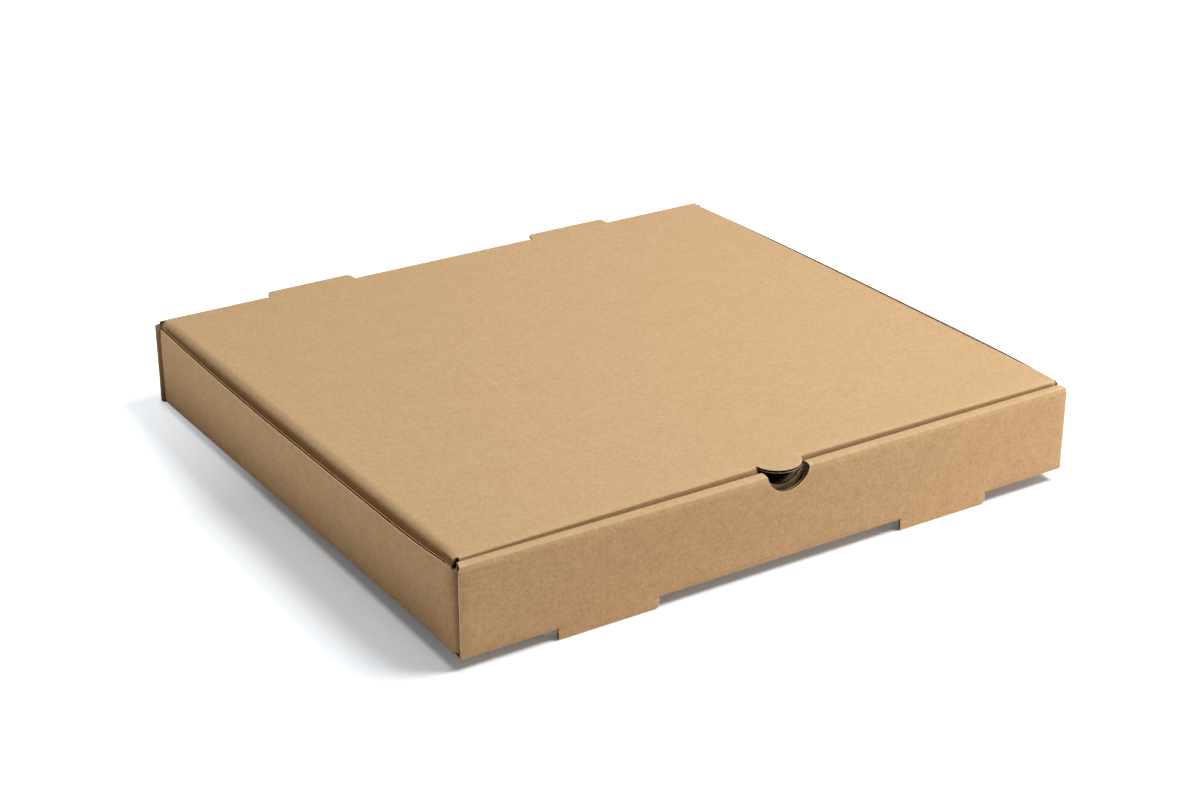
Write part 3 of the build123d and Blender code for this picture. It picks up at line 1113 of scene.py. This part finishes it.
def kraft_fibres(tree, sheet):
    """Fibres along the sheet, fibres across it, and the mottling between them."""
    along = noise(tree, stretched(tree, sheet, (1.0, 0.45, 1.0)), 1.5, detail=2, distortion=0.6)
    crossed = noise(tree, stretched(tree, sheet, (0.4, 1.0, 1.0), 0.5), 1.3, detail=2, distortion=0.8)
    mottle = noise(tree, sheet, 0.55, detail=2, roughness=0.6)
    return along, crossed, mottle


def kraft_tone(tree, sheet, fibres, crossed, mottle):
    """How light the paper is, from 0 to 1: fibres and mottling with faint clouds and blotches."""
    clouds = noise(tree, sheet, 0.07, detail=2)
    blotches = noise(tree, sheet, 0.22, detail=2, roughness=0.6)
    tone = maths(tree, "MULTIPLY", clouds, 0.10)
    for part, share in ((blotches, 0.20), (mottle, 0.28), (fibres, 0.22), (crossed, 0.20)):
        tone = maths(tree, "ADD", tone, maths(tree, "MULTIPLY", part, share))
    return remap(tree, tone, *TONE_RANGE, 0, 1)


def kraft_colour(tree, sheet, tone):
    """Brown paper, darker and redder below the top as painted shade, darker inside partly as painted shade,
    with specks, and cut edges paler from wear and a painted highlight.
    """
    # Painted shade: below the top the paper takes darker, redder colours than on top
    wall = attribute(tree, "wall")
    dark = mixed(tree, wall, LIT_TOP_DARK, SHADED_WALL_DARK)
    light = mixed(tree, wall, LIT_TOP_LIGHT, SHADED_WALL_LIGHT)
    layer = parts(tree, sheet)["Z"]
    inner = remap(tree, layer, LAYER_STEP / 2, LAYER_STEP, 0, 1)
    # Painted shade in part: the inner liner takes darker colours
    inside_kraft_shade_colour = mixed(tree, tone, INSIDE_KRAFT_SHADE_DARK, INSIDE_KRAFT_SHADE_LIGHT)
    colour = mixed(tree, inner, mixed(tree, tone, dark, light), inside_kraft_shade_colour)
    specks = noise(tree, sheet, 0.8, detail=1)
    colour = mixed(tree, remap(tree, specks, *SPECK_RANGE, 0, SPECK_SHARE), colour, KRAFT_SPECK)
    flecks = noise(tree, stretched(tree, sheet, (1, 0.5, 1), 0.9), 0.9, detail=1)
    colour = mixed(tree, remap(tree, flecks, *SPECK_RANGE, 0, FLECK_SHARE), colour, KRAFT_PALE)
    # Cut edges paler: partly wear, partly a painted highlight
    wear_and_highlight = maths(tree, "MULTIPLY", attribute(tree, "wear_and_highlight"), WEAR_AND_HIGHLIGHT_SHARE)
    colour = mixed(tree, wear_and_highlight, colour, KRAFT_PALE)
    # The faces towards the core only show at cut edges, where they are painted dark as shade
    depth = maths(tree, "MODULO", layer, LAYER_STEP)
    return mixed(tree, remap(tree, depth, HIDDEN_SHADE_START, LINER, 0, 1), colour, CORE_SHADE_DARK)


def kraft_material():
    """Brown kraft liner with the fine relief of its fibres."""
    material, tree, shader = new_material("kraft_liner", PAPER_SPECULAR)
    sheet = attribute(tree, "sheet", "Vector")
    fibres, crossed, mottle = kraft_fibres(tree, sheet)
    tone = kraft_tone(tree, sheet, fibres, crossed, mottle)
    link(tree, (kraft_colour(tree, sheet, tone), shader.inputs["Base Color"]))
    link(tree, (remap(tree, fibres, 0.3, 0.7, *KRAFT_ROUGHNESS), shader.inputs["Roughness"]))
    height = maths(tree, "ADD", maths(tree, "ADD", fibres, crossed), mottle)
    bump = node(tree, "ShaderNodeBump")
    bump.inputs["Strength"].default_value = 1.0
    bump.inputs["Distance"].default_value = FIBRE_HEIGHT * MM
    link(tree, (height, bump.inputs["Height"]), (bump.outputs["Normal"], shader.inputs["Normal"]))
    return material


def core_material():
    """Fluting paper, painted much darker than the liners as the shade inside the board."""
    material, tree, shader = new_material("kraft_core", PAPER_SPECULAR)
    sheet = attribute(tree, "sheet", "Vector")
    shader.inputs["Roughness"].default_value = CORE_ROUGHNESS
    tone = noise(tree, stretched(tree, sheet, (1.0, 0.4, 1.0)), 0.8, detail=4)
    colour = mixed(tree, remap(tree, tone, 0.3, 0.7, 0, 1), CORE_SHADE_DARK, CORE_SHADE_LIGHT)
    link(tree, (colour, shader.inputs["Base Color"]))
    return material


# Stage, in metres
FLOOR_SIZE = 12.0
FLOOR_DROP = 0.0001
FLOOR_BOUNCE = (0.70, 0.705, 0.715)
FLOOR_SEEN = (0.95, 0.98, 1.00)
GLOW_TINT = (0.94, 1.0, 1.06)
# Distance from the box, and how much white the floor adds there for the camera: painted lightening that sets
# the shadow's width and fade
GLOW_STEPS = ((0, 0.09), (0.003, 0.33), (0.008, 0.35), (0.022, 0.40), (0.04, 0.30), (0.5, 0.60), (1.5, 0.90))
# Painted lightening of the shadow behind and in front of the box; painted glow of the floor on the left,
# which lights the box
REAR_GLOW = 0.38
REAR_RANGE = (0.03, 0.15)
FRONT_GLOW = 0.35
FRONT_RANGE = (-0.153, -0.165)
LEFT_GLOW = 0.92
LEFT_RANGE = (-0.17, -0.25)
LEFT_DEPTH = (-0.4, 0.1)

# Lights
HORIZON_STRENGTH = 0.36
ZENITH_STRENGTH = 0.12
SKY_RANGE = (0.05, 0.65)
FRONT_SHARE = 0.65
FRONT_SKY = (-0.5, 0.5)
KEY_POWER = 29.4
KEY_SIZE = 0.80
KEY_PLACE = (0.75, -0.42, 1.42)
FILL_POWER = 0.95
FILL_SIZE = 0.10
FILL_PLACE = (0.45, -0.55, 0.06)
LAMP_AIM = (0.0, 0.0, 0.03)


def camera_share(tree):
    """1 for what the camera sees, straight or in a reflection, and 0 for light that falls on the object."""
    path = node(tree, "ShaderNodeLightPath")
    seen = maths(tree, "MAXIMUM", path.outputs["Is Camera Ray"], path.outputs["Is Glossy Ray"])
    return maths(tree, "MAXIMUM", seen, path.outputs["Is Transmission Ray"])


def box_distance(tree, place):
    """Distance on the floor from the box."""
    squares = []
    for axis, half in (("X", SIDE), ("Y", REAR)):
        away = maths(tree, "SUBTRACT", maths(tree, "ABSOLUTE", place[axis], 0.0), half * MM)
        squares.append(maths(tree, "POWER", maths(tree, "MAXIMUM", away, 0.0), 2.0))
    return maths(tree, "SQRT", maths(tree, "ADD", *squares), 0.0)


def stepped(tree, value, steps):
    """Strength read off between some steps, each a value and its strength."""
    strength = steps[0][1]
    for (near, low), (far, high) in zip(steps, steps[1:]):
        strength = maths(tree, "ADD", remap(tree, value, near, far, 0, high - low), strength)
    return strength


def floor_glow(tree):
    """White that the floor gives off: for the camera a painted lightening of the shadow, and a glow that
    lights the box though the floor is no lamp.
    """
    place = parts(tree, node(tree, "ShaderNodeNewGeometry").outputs["Position"])
    seen = stepped(tree, box_distance(tree, place), GLOW_STEPS)
    # Painted lightening: more white towards the rear and in front of the box, so the shadow fades there
    seen = maths(tree, "ADD", seen, remap(tree, place["Y"], *REAR_RANGE, 0, REAR_GLOW))
    seen = maths(tree, "ADD", seen, remap(tree, place["Y"], *FRONT_RANGE, 0, FRONT_GLOW))
    # The floor beside and behind the left wall glows, though it is no lamp, and lights the wall
    left = remap(tree, place["X"], *LEFT_RANGE, 0, LEFT_GLOW)
    unseen = maths(tree, "MULTIPLY", left, remap(tree, place["Y"], *LEFT_DEPTH, 0, 1))
    glow = node(tree, "ShaderNodeMix")
    link(tree, (camera_share(tree), glow.inputs["Factor"]))
    link(tree, (unseen, glow.inputs["A"]), (seen, glow.inputs["B"]))
    return glow.outputs["Result"]


def floor_material():
    """Matt white floor that keeps the shadow, lightened by a painted glow that also lights the box."""
    material, tree, shader = new_material("floor_white", 0.0)
    shader.inputs["Roughness"].default_value = 1.0
    shader.inputs["Emission Color"].default_value = (*GLOW_TINT, 1)
    colour = mixed(tree, camera_share(tree), FLOOR_BOUNCE, FLOOR_SEEN)
    link(tree, (colour, shader.inputs["Base Color"]))
    link(tree, (floor_glow(tree), shader.inputs["Emission Strength"]))
    return material


def make_floor():
    """Floor that touches the feet and the rear lower edge."""
    mesh = bpy.data.meshes.new("floor")
    size = FLOOR_SIZE / 2
    slope = (UNDER - tray_low.z) / (REAR - TRAY_FOLD - FRONT)
    foot = FRONT * MM
    corners = [(-size, -size), (size, -size), (size, size), (-size, size)]
    mesh.from_pydata([(x, y, (y - foot) * slope - FLOOR_DROP) for x, y in corners], [], [(0, 1, 2, 3)])
    mesh.materials.append(floor_material())
    floor = bpy.data.objects.new("floor", mesh)
    bpy.context.scene.collection.objects.link(floor)


def make_world():
    """White light from all round, strongest low down and behind, and white behind the object."""
    world = bpy.data.worlds.new("studio")
    world.use_nodes = True
    tree = world.node_tree
    background = tree.nodes["Background"]
    background.inputs["Color"].default_value = (1, 1, 1, 1)
    direction = parts(tree, node(tree, "ShaderNodeTexCoord").outputs["Generated"])
    light = remap(tree, direction["Z"], *SKY_RANGE, HORIZON_STRENGTH, ZENITH_STRENGTH)
    light = maths(tree, "MULTIPLY", light, remap(tree, direction["Y"], *FRONT_SKY, FRONT_SHARE, 1))
    link(tree, (maths(tree, "MAXIMUM", light, camera_share(tree)), background.inputs["Strength"]))
    bpy.context.scene.world = world


def area_light(name, place, size, power):
    """Soft lamp pointed at the box."""
    lamp = bpy.data.lights.new(name, "AREA")
    lamp.shape = "DISK"
    lamp.size = size
    lamp.energy = power
    piece = bpy.data.objects.new(name, lamp)
    piece.location = place
    piece.rotation_euler = (Vector(LAMP_AIM) - Vector(place)).to_track_quat("-Z", "Y").to_euler()
    bpy.context.scene.collection.objects.link(piece)


# Camera, fitted to the corners of the box in the photograph
CAMERA_LENS = 70.09
CAMERA_SENSOR = 36.0
CAMERA_CLIP = 0.01
CAMERA_AZIMUTH = math.radians(-32.767)
CAMERA_ELEVATION = math.radians(24.39)
CAMERA_DISTANCE = 1144.59
CAMERA_AIM_HEIGHT = 25.0
CAMERA_RIGHT = 0.89
CAMERA_UP = -2.16


def make_camera():
    """Camera at the photograph's angle."""
    azimuth = CAMERA_AZIMUTH
    level = math.cos(CAMERA_ELEVATION)
    back = Vector((math.sin(azimuth) * level, -math.cos(azimuth) * level, math.sin(CAMERA_ELEVATION)))
    right = Vector((math.cos(azimuth), math.sin(azimuth), 0))
    up = back.cross(right)
    aim = Vector((0, 0, CAMERA_AIM_HEIGHT)) + right * CAMERA_RIGHT + up * CAMERA_UP
    data = bpy.data.cameras.new("camera")
    data.lens = CAMERA_LENS
    data.sensor_width = CAMERA_SENSOR
    data.clip_start = CAMERA_CLIP
    camera = bpy.data.objects.new("camera", data)
    camera.location = (aim + back * CAMERA_DISTANCE) * MM
    camera.rotation_euler = (-back).to_track_quat("-Z", "Y").to_euler()
    bpy.context.scene.collection.objects.link(camera)
    bpy.context.scene.camera = camera


paper = kraft_material()
fluting = core_material()
for piece in make_lid() + make_tray() + make_crease():
    piece.data.materials.append(fluting if piece.name.endswith("core") else paper)

make_floor()
make_world()
area_light("key", KEY_PLACE, KEY_SIZE, KEY_POWER)
area_light("fill", FILL_PLACE, FILL_SIZE, FILL_POWER)
make_camera()
bpy.context.scene.view_settings.view_transform = "Standard"
